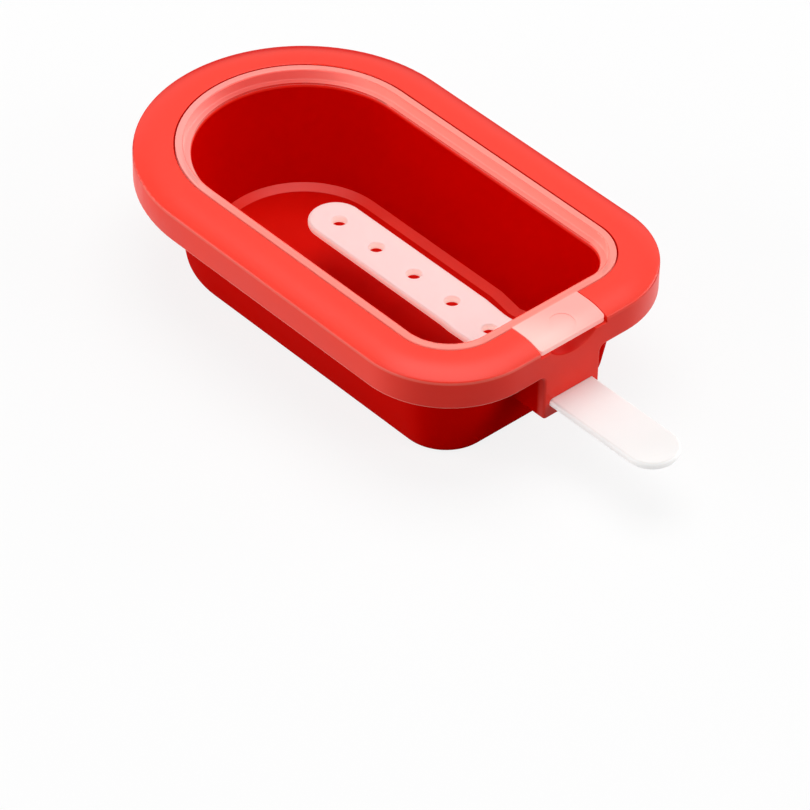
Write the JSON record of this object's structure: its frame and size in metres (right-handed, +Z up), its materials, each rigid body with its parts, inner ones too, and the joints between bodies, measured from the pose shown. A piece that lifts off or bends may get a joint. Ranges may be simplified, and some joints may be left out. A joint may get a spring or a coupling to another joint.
{
  "type": "ice pop mold",
  "caption": "Flat ice pop mold: a red silicone cup with a wide rounded rim, a clear press-in lid with a finger tab, and a white stick through a slot.",
  "frame": {"origin": "centre of the cup's flat underside, midway along the rim without the stick", "axes": "+Z up, +Y along the length from the stick end to the rounded end, so the stick points towards -Y, and X across"},
  "size_m": [0.075, 0.1531, 0.0303],
  "materials": {
    "silicone": "satin",
    "clear_plastic": "clear gloss",
    "white_plastic": "satin"
  },
  "bodies": {
    "root": {"mold": "silicone", "lid": "clear_plastic", "stick": "white_plastic"}
  },
  "joints": []
}
